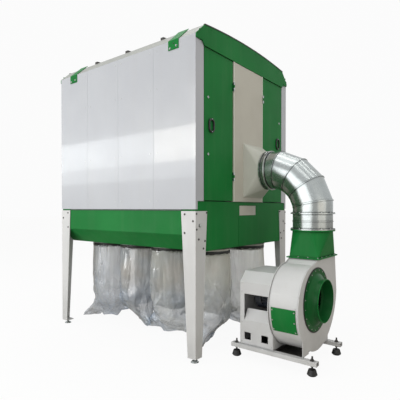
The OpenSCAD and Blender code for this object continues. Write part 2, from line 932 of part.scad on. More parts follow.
// Flange motor with cooling fins and a fan cowl
module motor() {
  cowl_l = motor_l / 4;
  color(dark_grey)
    on_shaft(fan_back_x - motor_flange_t) {
      cylinder(r = motor_flange_r, h = motor_flange_t);
      mirror([0, 0, 1]) {
        cylinder(r = motor_r, h = motor_l);
        for (k = [0:fin_count - 1])
          rotate(k * 360 / fin_count)
            translate([motor_r - fin_t, -fin_t / 2, 0]) cube([fin_h + fin_t, fin_t, motor_l - cowl_l]);
        translate([0, 0, motor_l - cowl_l]) cylinder(r = motor_r + fin_h + fin_t, h = cowl_l);
      }
    }
}

// Outline of the motor cover in Y and Z, drawn in by inset
module cover_outline(inset) {
  low = rail_top_z - (inset > 0 ? cut : 0);
  shoulder = inset * (sqrt(2) - 1);
  y0 = cover_y0 + inset;
  y1 = cover_y1 - inset;
  top = cover_top_z - inset;
  c = cover_chamfer - inset + shoulder;
  polygon([[y0, low], [y0, top - c], [y0 + c, top], [y1 - c, top], [y1, top - c], [y1, low]]);
}

// Folded cover over the motor, with a window, its sloping sill and two square ports
module motor_cover() {
  color(light_grey) {
    difference() {
      along_x(cover_x, cover_l) cover_outline(0);
      along_x(cover_x + cover_t, cover_l) cover_outline(cover_t);
      translate([window_x, cover_y0 - cut, window_bottom_z])
        cube([window_w, cover_t + 2 * cut, window_top_z - window_bottom_z]);
      for (s = [-1, 1])
        translate([cover_x + cover_l / 2 + s * port_pitch / 2 - port_w / 2, cover_y0 - cut, port_z])
          cube([port_w, cover_t + 2 * cut, port_w]);
    }
    along_x(window_x, window_w)
      polygon([[cover_y0, window_bottom_z - cover_t], [cover_y0 + cover_t, window_bottom_z - cover_t],
               [cover_y0 + sill_run, sill_z - 2 * cover_t], [cover_y0 + sill_run, sill_z],
               [cover_y0, window_bottom_z]]);
  }
}

// Box sections that carry casing and cover
module fan_rails() {
  color(light_grey)
    for (y = rail_ys)
      along_x(fan_end_x + rail_from, rail_l)
        translate([y - rail_w / 2, rail_z])
          difference() {
            square([rail_w, rail_h]);
            translate([rail_t, rail_t]) square([rail_w - 2 * rail_t, rail_h - 2 * rail_t]);
          }
}

// Cross members under the two ends of the cover, and the base plate under cover and scroll
module fan_cross_beams() {
  span = rail_pitch - rail_w;
  color(dark_grey)
    translate([0, rail_ys[0] + rail_w / 2, rail_z]) {
      for (x = [cover_x, fan_back_x - rail_w]) translate([x, 0, 0]) cube([rail_w, span, rail_h]);
      translate([cover_x, 0, 0]) cube([cover_l + fan_w - plate_inset, span, casing_t]);
    }
}

// Rubber foot with a dished top, and the stud that carries the rail
module rubber_foot() {
  dish_r = rubber_top_r - dish_rim;
  dish_z = rubber_h - dish_depth;
  rotate_extrude()
    polygon([[0, 0], [rubber_r - rubber_edge, 0], [rubber_r, rubber_edge], [rubber_top_r, rubber_h],
             [dish_r, rubber_h], [dish_r - dish_rim, dish_z], [0, dish_z]]);
  cylinder(r = stud_r, h = rail_z);
}

module fan_feet() {
  color(black)
    for (x = mount_xs)
      for (y = rail_ys)
        translate([x, y, 0]) rubber_foot();
}

for (i = [1:module_count]) {
  front_panel(i);
  rear_panel(i);
}
roof();
eaves();
roof_seams();
fan_end_cap();
blind_end_cap();
roof_brackets();
inlet_panel();
front_door();
rear_door();
front_door_handle();
rear_door_handle();
door_hinges();
end_posts();
blind_end_panels();
blind_end_centre_panel();
hopper_sides();
hopper_ends();
hopper_floor();
bag_collars();
bag_straps();
front_bags();
rear_bags();
legs();
levelling_feet();
inlet_hood();
hood_collar();
elbow();
drop_duct();
transition();
scroll_band();
casing_plates();
fan_inlet();
scroll_hatch();
impeller();
motor();
motor_cover();
fan_rails();
fan_cross_beams();
fan_feet();
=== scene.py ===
"""Looks of the bag-filter dust collector: finishes, fasteners, film bags, light and camera."""
import json
import math

import bpy
import numpy as np
from mathutils import Euler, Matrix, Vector


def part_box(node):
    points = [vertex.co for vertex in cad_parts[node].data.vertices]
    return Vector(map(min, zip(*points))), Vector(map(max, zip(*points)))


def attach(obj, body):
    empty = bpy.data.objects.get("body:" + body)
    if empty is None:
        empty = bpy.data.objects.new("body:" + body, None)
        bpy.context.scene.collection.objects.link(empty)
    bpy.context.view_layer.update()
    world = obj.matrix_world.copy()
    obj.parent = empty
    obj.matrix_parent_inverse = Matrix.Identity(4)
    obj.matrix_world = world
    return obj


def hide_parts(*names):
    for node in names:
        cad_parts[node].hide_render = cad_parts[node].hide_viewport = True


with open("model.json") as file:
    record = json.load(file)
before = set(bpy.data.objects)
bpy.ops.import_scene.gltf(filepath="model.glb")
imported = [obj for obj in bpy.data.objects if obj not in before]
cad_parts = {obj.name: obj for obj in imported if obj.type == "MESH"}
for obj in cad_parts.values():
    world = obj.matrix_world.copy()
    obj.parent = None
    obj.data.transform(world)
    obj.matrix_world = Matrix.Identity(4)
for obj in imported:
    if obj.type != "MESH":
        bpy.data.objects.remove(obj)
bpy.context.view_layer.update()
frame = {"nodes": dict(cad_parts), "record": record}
nodes = frame["nodes"]


def middle_of(node, axis):
    """Middle of a node's box along one axis."""
    low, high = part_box(node)
    return (low[axis] + high[axis]) / 2


# Places read from the frame, in metres
MODULES = 4
REAR_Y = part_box("rear_panel_2")[1].y
PANEL_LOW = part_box("front_panel_2")[0].z
PANEL_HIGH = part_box("front_panel_2")[1].z
BLIND_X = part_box("front_panel_1")[0].x
FAN_END_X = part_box("front_panel_4")[1].x
JOINTS_X = [(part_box(f"front_panel_{i}")[1].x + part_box(f"front_panel_{i + 1}")[0].x) / 2 for i in (1, 2, 3)]
MODULE = (FAN_END_X - BLIND_X) / MODULES
CAB_X = (BLIND_X + FAN_END_X) / 2
ROOF_EDGE_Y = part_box("roof")[1].y
ROOF_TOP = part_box("roof")[1].z
ROOF_RISE = 0.043
SHAFT_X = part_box("casing_plates")[1].x
SHAFT_Y = middle_of("fan_inlet", 1)
SHAFT_Z = middle_of("fan_inlet", 2)
STRAP_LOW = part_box("bag_straps")[0].z
STRAP_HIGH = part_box("bag_straps")[1].z
BAG_ROW_Y = 0.380
SIDES = (-1, 1)
ENDS = (-1, 1)


class Finish:
    """A material in the making, with short calls for the nodes that it uses."""

    def __init__(self, name):
        self.material = bpy.data.materials.new(name)
        self.material.use_nodes = True
        self.tree = self.material.node_tree
        self.shader = self.tree.nodes["Principled BSDF"]
        self.place = self.add("ShaderNodeTexCoord").outputs["Object"]

    def add(self, kind, **settings):
        """A new node with the given settings."""
        node = self.tree.nodes.new(kind)
        for key, value in settings.items():
            setattr(node, key, value)
        return node

    def feed(self, socket, value):
        """Links a socket to another node, or sets its value."""
        if isinstance(value, bpy.types.NodeSocket):
            self.tree.links.new(value, socket)
        else:
            socket.default_value = value

    def stretched(self, scale):
        """The place on the object, scaled along each axis."""
        node = self.add("ShaderNodeMapping")
        self.feed(node.inputs["Vector"], self.place)
        node.inputs["Scale"].default_value = scale
        return node.outputs["Vector"]

    def noise(self, scale, detail=3.0, vector=None):
        """Cloudy noise."""
        node = self.add("ShaderNodeTexNoise")
        self.feed(node.inputs["Vector"], vector or self.place)
        node.inputs["Scale"].default_value = scale
        node.inputs["Detail"].default_value = detail
        return node.outputs["Fac"]

    def cells(self, scale, feature="F1", output="Color"):
        """Random cells."""
        node = self.add("ShaderNodeTexVoronoi", feature=feature)
        self.feed(node.inputs["Vector"], self.place)
        node.inputs["Scale"].default_value = scale
        return node.outputs[output]

    def along(self, axis):
        """The place along one axis, in metres."""
        node = self.add("ShaderNodeSeparateXYZ")
        self.feed(node.inputs["Vector"], self.place)
        return node.outputs[axis]

    def ranged(self, value, low, high, to_low, to_high):
        """Maps low to high onto to_low to to_high, and holds the ends."""
        node = self.add("ShaderNodeMapRange")
        self.feed(node.inputs["Value"], value)
        for key, number in zip(("From Min", "From Max", "To Min", "To Max"), (low, high, to_low, to_high)):
            node.inputs[key].default_value = number
        return node.outputs["Result"]

    def maths(self, operation, a, b):
        """Two values put together."""
        node = self.add("ShaderNodeMath", operation=operation)
        self.feed(node.inputs[0], a)
        self.feed(node.inputs[1], b)
        return node.outputs["Value"]

    def mixed(self, factor, a, b):
        """Colour a where the factor is 0, and b where it is 1."""
        node = self.add("ShaderNodeMix", data_type="RGBA")
        self.feed(node.inputs["Factor"], factor)
        self.feed(node.inputs["A"], a)
        self.feed(node.inputs["B"], b)
        return node.outputs["Result"]

    def bump(self, height, distance, normal=None):
        """Relief of the given height over the surface, or over another relief."""
        node = self.add("ShaderNodeBump")
        node.inputs["Strength"].default_value = 1.0
        node.inputs["Distance"].default_value = distance
        self.feed(node.inputs["Height"], height)
        if normal is not None:
            self.feed(node.inputs["Normal"], normal)
        return node.outputs["Normal"]

    def corners(self, reach, most):
        """Mask of painted shade: grows from 0 on open faces to most in corners and along joints, within reach
        of them.
        """
        node = self.add("ShaderNodeAmbientOcclusion", samples=8)
        node.inputs["Distance"].default_value = reach
        return self.ranged(node.outputs["AO"], 0.50, 0.96, most, 0.0)

    def set(self, **values):
        """Feeds the shader's own sockets, named with underscores."""
        for key, value in values.items():
            self.feed(self.shader.inputs[key.replace("_", " ")], value)


def rgb(red, green, blue):
    """A colour written as it shows on screen, 0 to 255, as the shader takes it."""
    def linear(c):
        c = c / 255
        return c / 12.92 if c <= 0.04045 else ((c + 0.055) / 1.055) ** 2.4
    return (linear(red), linear(green), linear(blue), 1.0)


DUST = rgb(176, 172, 162)
DIRT = rgb(96, 90, 80)
# Near-black colours of painted shade, mixed in towards corners and along joints
PAINTED_CORNER_SHADE = rgb(26, 28, 24)
PAINTED_ZINC_CORNER_SHADE = rgb(46, 52, 50)


def paint(name, colour, shade, roughness, coat, wave, grime, floor_dust=0.0, gloss=0.5, corner_shade=0.5):
    """Sprayed paint: clouded tone, faint runs and dust, orange peel, slow waves in the sheet, and painted
    shade in its corners and along joints.
    """
    f = Finish(name)
    cloud = f.ranged(f.noise(1.9, 4.0), 0.32, 0.68, 0.0, 1.0)
    tone = f.mixed(cloud, shade, colour)
    runs = f.noise(1.0, 4.0, f.stretched((13.0, 13.0, 0.8)))
    tone = f.mixed(f.ranged(runs, 0.50, 0.78, 0.0, grime), tone, DUST)
    specks = f.noise(85.0, 2.0)
    tone = f.mixed(f.ranged(specks, 0.66, 0.74, 0.0, grime * 0.8), tone, DIRT)
    if floor_dust:
        low = f.ranged(f.along("Z"), 0.02, 0.55, floor_dust, 0.0)
        patches = f.ranged(f.noise(7.0), 0.35, 0.65, 0.3, 1.0)
        tone = f.mixed(f.maths("MULTIPLY", low, patches), tone, DIRT)
    # Painted shade: darker in corners and along joints, as far as the occlusion reaches
    if corner_shade:
        tone = f.mixed(f.corners(0.022, corner_shade), tone, f.mixed(0.75, tone, PAINTED_CORNER_SHADE))
    sheet = f.bump(f.noise(1.6, 1.0), wave)
    peel = f.bump(f.noise(420.0, 2.0), 0.00006, sheet)
    f.set(Base_Color=tone, Normal=peel)
    f.set(Roughness=f.ranged(f.noise(5.0, 5.0), 0.3, 0.7, roughness - 0.05, roughness + 0.08))
    f.set(Coat_Weight=coat, Coat_Roughness=0.07, Specular_IOR_Level=gloss)
    return f.material


def galvanised(name, light, dark, roughness):
    """Zinc-coated sheet: faint spangle cells, rolling marks, slow dents, and painted shade in its corners and
    along its joints.
    """
    f = Finish(name)
    spangle = f.add("ShaderNodeSeparateColor")
    f.feed(spangle.inputs["Color"], f.cells(46.0))
    rolled = f.noise(1.0, 3.0, f.stretched((3.0, 90.0, 3.0)))
    tone = f.mixed(f.ranged(spangle.outputs["Red"], 0.0, 1.0, 0.35, 0.65), dark, light)
    tone = f.mixed(f.ranged(f.noise(6.0, 4.0), 0.55, 0.8, 0.0, 0.35), tone, DUST)
    # Painted shade in the sheet's corners and along its joints
    tone = f.mixed(f.corners(0.020, 0.85), tone, PAINTED_ZINC_CORNER_SHADE)
    grain = f.ranged(rolled, 0.3, 0.7, roughness - 0.03, roughness + 0.05)
    rough = f.maths("ADD", f.ranged(spangle.outputs["Green"], 0.0, 1.0, -0.02, 0.02), grain)
    f.set(Base_Color=tone, Metallic=0.92, Roughness=rough)
    f.set(Normal=f.bump(f.noise(4.0, 1.0), 0.0014))
    return f.material


def dull(name, colour, shade, roughness, grain, depth, metallic=0.0, dusty=0.22):
    """Moulded plastic, rubber or bare dark steel with an even grain."""
    f = Finish(name)
    patch = f.ranged(f.noise(22.0, 4.0), 0.35, 0.7, 0.0, 1.0)
    dust = f.ranged(f.noise(60.0, 3.0), 0.58, 0.78, 0.0, dusty)
    f.set(Base_Color=f.mixed(dust, f.mixed(patch, colour, shade), DUST))
    f.set(Roughness=f.ranged(f.noise(35.0), 0.3, 0.7, roughness - 0.08, roughness + 0.08))
    f.set(Normal=f.bump(f.noise(grain, 3.0), depth), Metallic=metallic)
    return f.material


def bag_film():
    """Clear crumpled film: grey with lighter upright streaks of painted highlight, painted light that makes it
    lighter towards the fan end, cooler and more creased at the foot.
    """
    f = Finish("bag_film")
    cool = f.ranged(f.along("Z"), 0.10, 0.85, 1.0, 0.25)
    patch = f.ranged(f.noise(3.5, 3.0), 0.35, 0.65, 0.35, 1.0)
    # Painted light: lighter towards the fan end, as if more light falls there
    tone = f.mixed(f.ranged(f.along("X"), -0.9, 0.5, 0.0, 1.0), rgb(164, 168, 171), rgb(236, 234, 218))
    tone = f.mixed(f.ranged(f.noise(2.6, 2.0), 0.46, 0.64, 0.0, 0.55), tone, rgb(214, 198, 176))
    tone = f.mixed(f.maths("MULTIPLY", cool, patch), tone, rgb(160, 178, 202))
    # Painted highlights: lighter upright streaks, where the film is also a little denser
    highlight_streaks = f.noise(1.0, 2.0, f.stretched((11.0, 11.0, 1.1)))
    tone = f.mixed(f.ranged(highlight_streaks, 0.46, 0.72, 0.0, 0.40), tone, rgb(214, 216, 216))
    f.set(Base_Color=tone)
    facing = f.add("ShaderNodeLayerWeight")
    facing.inputs["Blend"].default_value = 0.35
    edge = f.ranged(facing.outputs["Facing"], 0.10, 0.90, 0.52, 0.96)
    f.set(Alpha=f.maths("MULTIPLY", edge, f.ranged(highlight_streaks, 0.3, 0.7, 0.88, 1.05)))
    f.set(Roughness=0.09, Specular_IOR_Level=1.0, Coat_Weight=1.0, Coat_Roughness=0.04)
    large = f.cells(11.0, "DISTANCE_TO_EDGE", "Distance")
    small = f.cells(27.0, "DISTANCE_TO_EDGE", "Distance")
    facets = f.maths("ADD", large, f.maths("MULTIPLY", small, 0.75))
    low = f.ranged(f.along("Z"), 0.10, 0.80, 1.0, 0.12)
    f.set(Normal=f.bump(f.maths("MULTIPLY", facets, low), 0.022))
    return f.material


SIDE = paint("side_panel_paint", rgb(186, 189, 195), rgb(181, 184, 191),
             roughness=0.34, coat=0.55, wave=0.0009, grime=0.07, corner_shade=0.0)
PALE = paint("pale_panel_paint", rgb(204, 202, 191), rgb(196, 193, 182),
             roughness=0.44, coat=0.05, wave=0.0012, grime=0.10, gloss=0.3, corner_shade=0.0)
# Painted shade: the pale paint again, a little darker and cooler, for the inlet's hood
SHADED_PALE = paint("pale_paint_painted_shade", rgb(197, 199, 190), rgb(189, 191, 182),
             roughness=0.46, coat=0.05, wave=0.0012, grime=0.10, gloss=0.3, corner_shade=0.0)
GREEN = paint("green_paint", rgb(29, 124, 58), rgb(25, 113, 52),
              roughness=0.36, coat=0.0, wave=0.0010, grime=0.03, gloss=0.09)
GREY = paint("light_grey_paint", rgb(213, 214, 215), rgb(206, 207, 208),
             roughness=0.42, coat=0.1, wave=0.0008, grime=0.08, floor_dust=0.20, gloss=0.4)
# Painted shade: the green paint again, darker, for the fan's inlet
SHADED_GREEN = paint("green_paint_painted_shade", rgb(23, 98, 46), rgb(20, 88, 41),
              roughness=0.34, coat=0.0, wave=0.0006, grime=0.03, gloss=0.12)
ROOF = paint("roof_paint", rgb(160, 162, 157), rgb(154, 156, 152),
             roughness=0.44, coat=0.1, wave=0.0009, grime=0.12, gloss=0.3)
# Near-white paint of the edge strips, partly a painted highlight of the panels' edges
TRIM_HIGHLIGHT_PAINT = paint("trim_paint_painted_highlight", rgb(236, 240, 228), rgb(230, 234, 222),
             roughness=0.40, coat=0.1, wave=0.0004, grime=0.05, gloss=0.3)
MOTOR = paint("motor_paint", rgb(48, 56, 70), rgb(36, 42, 52),
              roughness=0.42, coat=0.1, wave=0.0002, grime=0.2, gloss=0.3)
ZINC = galvanised("galvanised_sheet", rgb(194, 199, 198), rgb(172, 177, 177), roughness=0.23)
BOLT = galvanised("zinc_bolt", rgb(226, 227, 226), rgb(196, 198, 198), roughness=0.30)
BLACK = dull("black_plastic", rgb(24, 26, 25), rgb(36, 38, 37), roughness=0.46, grain=900.0, depth=0.00008)
RUBBER = dull("black_rubber", rgb(13, 13, 13), rgb(20, 20, 19),
              roughness=0.50, grain=500.0, depth=0.00012, dusty=0.05)
STEEL = dull("dark_steel", rgb(78, 76, 74), rgb(60, 59, 58),
             roughness=0.46, grain=300.0, depth=0.00008, metallic=0.6)
DOOR_SEAL = dull("green_seal", rgb(40, 120, 62), rgb(34, 106, 54),
                 roughness=0.62, grain=420.0, depth=0.0001, dusty=0.05)
# Dark grey seal colour: real on the door gaskets, painted shade in the strips under the side panels
DARK_SEAL_AND_SHADE = dull("grey_seal_and_painted_shade", rgb(70, 84, 78), rgb(56, 68, 63), roughness=0.62, grain=420.0, depth=0.0001)
FILM = bag_film()

# Each CAD node gets the finish of its slot, or its own, and softly broken edges
SLOT_OF = {entry["node"]: entry["material_slot"] for entry in frame["record"]["subparts"]}
FINISHES = {
    "side_panel": SIDE, "pale_panel": PALE, "green_paint": GREEN, "grey_paint": GREY, "galvanised": ZINC,
    "black_plastic": BLACK, "rubber": RUBBER, "dark_steel": STEEL, "motor_paint": MOTOR, "bag_film": FILM,
}
OWN_FINISH = {"fan_inlet": SHADED_GREEN, "inlet_hood": SHADED_PALE, "roof": ROOF, "eaves": ROOF, "levelling_feet": ZINC}
EDGE = {
    "side_panel": 0.0009, "pale_panel": 0.005, "green_paint": 0.003, "grey_paint": 0.003,
    "black_plastic": 0.004,
}
WELD_REACH = 0.00005
EDGE_ANGLE = 38


def dress(node_name, slot):
    """Gives a CAD node its finish and broken edges."""
    piece = nodes[node_name]
    piece.data.materials.clear()
    piece.data.materials.append(OWN_FINISH.get(node_name, FINISHES[slot]))
    if slot in EDGE:
        weld = piece.modifiers.new("joined_faces", "WELD")
        weld.merge_threshold = WELD_REACH
        bevel = piece.modifiers.new("broken_edges", "BEVEL")
        bevel.width = EDGE[slot]
        bevel.segments = 2
        bevel.limit_method = "ANGLE"
        bevel.angle_limit = math.radians(EDGE_ANGLE)
        bevel.harden_normals = False


for node_name, node_slot in SLOT_OF.items():
    dress(node_name, node_slot)


class Shape:
    """Points and faces of one new piece, gathered from simple parts."""

    def __init__(self):
        self.points = []
        self.faces = []

    def grid(self, rows, closed):
        """Skins a list of equally long point rows."""
        base = len(self.points)
        width = len(rows[0])
        for row in rows:
            self.points.extend(row)
        for i in range(len(rows) - 1):
            for j in range(width if closed else width - 1):
                k = (j + 1) % width
                a = base + i * width
                self.faces.append((a + j, a + k, a + width + k, a + width + j))
        return base

    def rod(self, rows):
        """Skins rows of points that go round a section, and closes both ends."""
        base = self.grid(rows, True)
        width = len(rows[0])
        last = base + (len(rows) - 1) * width
        self.faces.append(tuple(base + k for k in reversed(range(width))))
        self.faces.append(tuple(last + k for k in range(width)))

    def lathe(self, at, axis, profile, sides, turn=0.0):
        """Turns a profile of (radius, height) pairs about an axis through a point, and closes both ends."""
        frame_turn = Vector(axis).to_track_quat("Z", "Y").to_matrix()
        rows = []
        for radius, height in profile:
            row = []
            for k in range(sides):
                a = turn + 2 * math.pi * k / sides
                spoke = Vector((radius * math.cos(a), radius * math.sin(a), height))
                row.append(Vector(at) + frame_turn @ spoke)
            rows.append(row)
        self.rod(rows)

    def hoop(self, at, axis, section, sides):
        """Turns a closed section of (radius, height) pairs about an axis through a point."""
        frame_turn = Vector(axis).to_track_quat("Z", "Y").to_matrix()
        rows = []
        for k in range(sides + 1):
            a = 2 * math.pi * (k % sides) / sides
            spokes = [Vector((r * math.cos(a), r * math.sin(a), h)) for r, h in section]
            rows.append([Vector(at) + frame_turn @ spoke for spoke in spokes])
        self.grid(rows, True)

    def box(self, low, high, edge=0.0):
        """A box whose corners are cut back by edge."""
        low, high = Vector(low), Vector(high)
        middle = (low + high) / 2
        rows = []
        for z, inset in ((low.z, edge), (low.z + edge, 0.0), (high.z - edge, 0.0), (high.z, edge)):
            if not edge and rows and abs(rows[-1][0][2] - z) < 1e-9:
                continue
            x, y = high.x - middle.x - inset, high.y - middle.y - inset
            c = min(edge, x, y)
            ring = [(x, -y + c), (x, y - c), (x - c, y), (c - x, y)]
            ring += [(-x, y - c), (-x, c - y), (c - x, -y), (x - c, -y)]
            if not edge:
                ring = ring[::2]
            rows.append([(middle.x + p, middle.y + q, z) for p, q in ring])
        self.rod(rows)

    def bolt(self, at, axis, radius, turn=0.3):
        """A washer and a chamfered hexagon head."""
        lift = 0.18 * radius
        self.lathe(at, axis, [(radius, 0.0), (radius, 0.12 * radius), (0.94 * radius, lift)], 20)
        head = 0.68 * radius
        profile = [(head, lift), (head, lift + 0.42 * radius), (0.8 * head, lift + 0.55 * radius)]
        self.lathe(at, axis, profile, 6, turn)

    def screw(self, at, axis, radius):
        """A flat round head."""
        self.lathe(at, axis, [(radius, 0.0), (radius, 0.25 * radius), (0.7 * radius, 0.5 * radius)], 16)

    def piece(self, name, material, body, slot, smooth=0.0):
        """Makes the piece, smooth where its faces meet at less than the given angle."""
        mesh = bpy.data.meshes.new(name)
        mesh.from_pydata([tuple(p) for p in self.points], [], self.faces)
        mesh.update()
        if smooth:
            mesh.shade_smooth()
            mesh.set_sharp_from_angle(angle=math.radians(smooth))
        obj = bpy.data.objects.new(name, mesh)
        bpy.context.scene.collection.objects.link(obj)
        mesh.materials.append(material)
        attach(obj, body)
        return obj


# Fasteners and small fittings, all in metres
SOFT = 40
SCREW_R = 0.006
SMALL_SCREW_R = 0.005


def at_end(end, x):
    """A place x on the fan end, or its mirror image on the blind end."""
    return CAB_X + end * (x - CAB_X)


def spread(low, high, count):
    """Evenly spread places from low to high."""
    return [low + (high - low) * i / (count - 1) for i in range(count)]


def panel_screws():
    """Screws in upright rows on both sides of each joint between the side panels."""
    off = 0.050
    heights = (1.549, 2.035, 2.680, 3.060)
    shape = Shape()
    for side in SIDES:
        for joint in JOINTS_X:
            for x in (joint - off, joint + off):
                for z in heights:
                    shape.screw((x, side * REAR_Y, z), (0, side, 0), SCREW_R)
    shape.piece("panel_screws", BOLT, "plant", "galvanised", smooth=SOFT)


def joint_seals():
    """Light strips that close the joints between the side panels, set back a little from their faces."""
    half, back, depth, ends = 0.0013, 0.0010, 0.012, 0.001
    seals = Shape()
    for side in SIDES:
        y0, y1 = sorted((side * (REAR_Y - depth), side * (REAR_Y - back)))
        for x in JOINTS_X:
            seals.box((x - half, y0, PANEL_LOW + ends), (x + half, y1, PANEL_HIGH - ends))
    seals.piece("joint_seals", SIDE, "plant", "side_panel")


def bracket_bolts():
    """Two bolts on each roof bracket, and a flat dark disc that paints the shade of its hole."""
    bolts = ((-0.042, 3.036), (0.038, 3.048))
    hole_x, hole_z = 0.004, 3.078
    bolt_r, hole_r = 0.011, 0.007
    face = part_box("roof_brackets")[1].y
    heads = Shape()
    holes = Shape()
    for side in SIDES:
        for middle in (BLIND_X + MODULE / 2, FAN_END_X - MODULE / 2):
            for x, z in bolts:
                heads.bolt((middle + x, side * face, z), (0, side, 0), bolt_r)
            # Painted shade: a flat dark disc where the bracket's hole is
            holes.screw((middle + hole_x, side * face, hole_z), (0, side, 0), hole_r)
    heads.piece("bracket_bolts", BOLT, "plant", "galvanised", smooth=SOFT)
    holes.piece("bracket_hole_shades", BLACK, "plant", "black_plastic", smooth=SOFT)


def roof_height(y):
    """Top of the arched roof."""
    arc = ROOF_EDGE_Y ** 2 / (2 * ROOF_RISE) + ROOF_RISE / 2
    return ROOF_TOP - arc + math.sqrt(arc * arc - y * y)


def cap_trim():
    """Dark edging over the arch of each end cap, and the cap's screws."""
    steps = 33
    inside, outside = 0.004, 0.003
    under, over = 0.004, 0.007
    row_half, row_drop, corner_r = 0.72, 0.028, 0.008
    corner = ((0.928, 3.122), (0.902, 3.156), (0.864, 3.076), (0.846, 3.050))
    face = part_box("fan_end_cap")[1].x
    edging = Shape()
    screws = Shape()
    for end in ENDS:
        back, front = at_end(end, FAN_END_X - inside), at_end(end, face + outside)
        rows = []
        for y in spread(-ROOF_EDGE_Y, ROOF_EDGE_Y, steps):
            low, high = roof_height(y) - under, roof_height(y) + over
            rows.append([(back, y, low), (back, y, high), (front, y, high), (front, y, low)])
        edging.rod(rows)
        for y in spread(-row_half, row_half, 6):
            screws.screw((at_end(end, face), y, roof_height(y) - row_drop), (end, 0, 0), SCREW_R)
        for side in SIDES:
            for y, z in corner:
                screws.screw((at_end(end, face), side * y, z), (end, 0, 0), corner_r)
    edging.piece("cap_edging", STEEL, "plant", "dark_steel")
    screws.piece("cap_screws", GREEN, "plant", "green_paint", smooth=SOFT)


def door_fittings(body, side):
    """Seal along the top, two quarter-turn locks and the grip's screws, all on the door."""
    seal_inner, seal_outer, seal_back = 0.322, 0.814, 0.030
    overlap, seal_lift = 0.001, 0.0055
    lock_y, lock_heights = 0.754, (2.555, 2.002)
    lock = [(0.013, 0.0), (0.013, 0.002), (0.011, 0.004), (0.006, 0.004), (0.005, 0.002)]
    grip_y, grip_z, grip_face, grip_hole = 0.707, 2.286, 0.016, 0.0615
    low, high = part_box(body)
    y0, y1 = sorted((side * seal_inner, side * seal_outer))
    seal = Shape()
    seal.box((low.x + seal_back, y0, high.z - overlap), (FAN_END_X - overlap, y1, high.z + seal_lift))
    seal.piece(f"{body}_seal", DOOR_SEAL, body, "rubber")
    locks = Shape()
    for z in lock_heights:
        locks.lathe((FAN_END_X, side * lock_y, z), (1, 0, 0), lock, 24)
    for lift in (-grip_hole, grip_hole):
        locks.screw((FAN_END_X + grip_face, side * grip_y, grip_z + lift), (1, 0, 0), SMALL_SCREW_R)
    locks.piece(f"{body}_locks", ZINC, body, "galvanised", smooth=SOFT)


def panel_trims():
    """Light edge strips on both sides of each centre panel, painted near white so that they also stand for the
    highlights along its edges.
    """
    thick, width, off, ends = 0.002, 0.010, 0.0005, 0.001
    low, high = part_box("inlet_panel")
    trims = Shape()
    for end in ENDS:
        x0, x1 = sorted((at_end(end, high.x), at_end(end, high.x + thick)))
        for side in SIDES:
            y0, y1 = sorted((side * (high.y - width), side * (high.y - off)))
            trims.box((x0, y0, low.z + ends), (x1, y1, high.z - ends))
    trims.piece("panel_trims", TRIM_HIGHLIGHT_PAINT, "plant", "grey_paint")


def door_gaskets():
    """Soft strips on the posts, which the doors close against."""
    thick, slack = 0.0045, 0.0005
    bottom, top = 1.552, 3.020
    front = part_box("front_door")[0].x
    strips = Shape()
    for side in SIDES:
        for inner, outer in ((0.321, 0.337), (0.799, 0.815)):
            y0, y1 = sorted((side * inner, side * outer))
            strips.box((front - thick, y0, bottom), (front - slack, y1, top))
    strips.piece("door_gaskets", DARK_SEAL_AND_SHADE, "plant", "rubber")


def leg_bolts():
    """Bolts of the legs through both flanges into the hopper."""
    front_flange = ((0.469, 1.418), (0.571, 1.353), (0.469, 1.238))
    end_flange = (
        (0.937, 1.423), (0.780, 1.432), (0.934, 1.274),
        (0.903, 1.180), (0.806, 1.159), (0.830, 1.088))
    anchor_y, anchor_z = 0.887, 1.310
    small_r, large_r = 0.010, 0.017
    small = Shape()
    large = Shape()
    for end in ENDS:
        face = at_end(end, FAN_END_X)
        for side in SIDES:
            for x, z in front_flange:
                small.bolt((at_end(end, x), side * REAR_Y, z), (0, side, 0), small_r)
            for y, z in end_flange:
                small.bolt((face, side * y, z), (end, 0, 0), small_r)
            large.bolt((face, side * anchor_y, anchor_z), (end, 0, 0), large_r)
    small.piece("leg_bolts", STEEL, "plant", "dark_steel", smooth=SOFT)
    large.piece("leg_anchor_bolts", BOLT, "plant", "galvanised", smooth=SOFT)


def hopper_trim():
    """Dark strips under the side panels that paint the shade of the gap there, a bare plate and a lapped joint
    on the hopper's end.
    """
    seal_end, seal_inner, seal_outer, seal_low, seal_high = 0.424, 0.9415, 0.9475, 1.453, 1.4645
    plate_half, plate_low, plate_high, plate_t = 0.173, 1.396, 1.503, 0.003
    rivet_y, rivet_heights = 0.160, (1.409, 1.490)
    lap_y, lap_half, lap_low, lap_high, lap_t = -0.170, 0.020, 1.066, 1.392, 0.0025
    lap_screw_heights = spread(1.10, 1.36, 4)
    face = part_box("hopper_ends")[1].x
    # Painted shade: dark strips under the side panels, where they stand out over the hopper
    seals = Shape()
    for side in SIDES:
        y0, y1 = sorted((side * seal_inner, side * seal_outer))
        seals.box((at_end(-1, seal_end), y0, seal_low), (seal_end, y1, seal_high))
    seals.piece("panel_shadow_strips", DARK_SEAL_AND_SHADE, "plant", "rubber")
    plate = Shape()
    plate.box((face, -plate_half, plate_low), (face + plate_t, plate_half, plate_high), edge=0.002)
    plate.piece("bare_plate", PALE, "plant", "pale_panel")
    laps = Shape()
    for end in ENDS:
        x0, x1 = sorted((at_end(end, face), at_end(end, face + lap_t)))
        laps.box((x0, lap_y - lap_half, lap_low), (x1, lap_y + lap_half, lap_high))
        for z in lap_screw_heights:
            laps.screw((at_end(end, face + lap_t), lap_y, z), (end, 0, 0), SMALL_SCREW_R)
    laps.piece("hopper_lap_strips", GREEN, "plant", "green_paint")
    rivets = Shape()
    for y in (-rivet_y, rivet_y):
        for z in rivet_heights:
            rivets.screw((face + plate_t, y, z), (1, 0, 0), SCREW_R)
    rivets.piece("hopper_rivets", BOLT, "plant", "galvanised", smooth=SOFT)


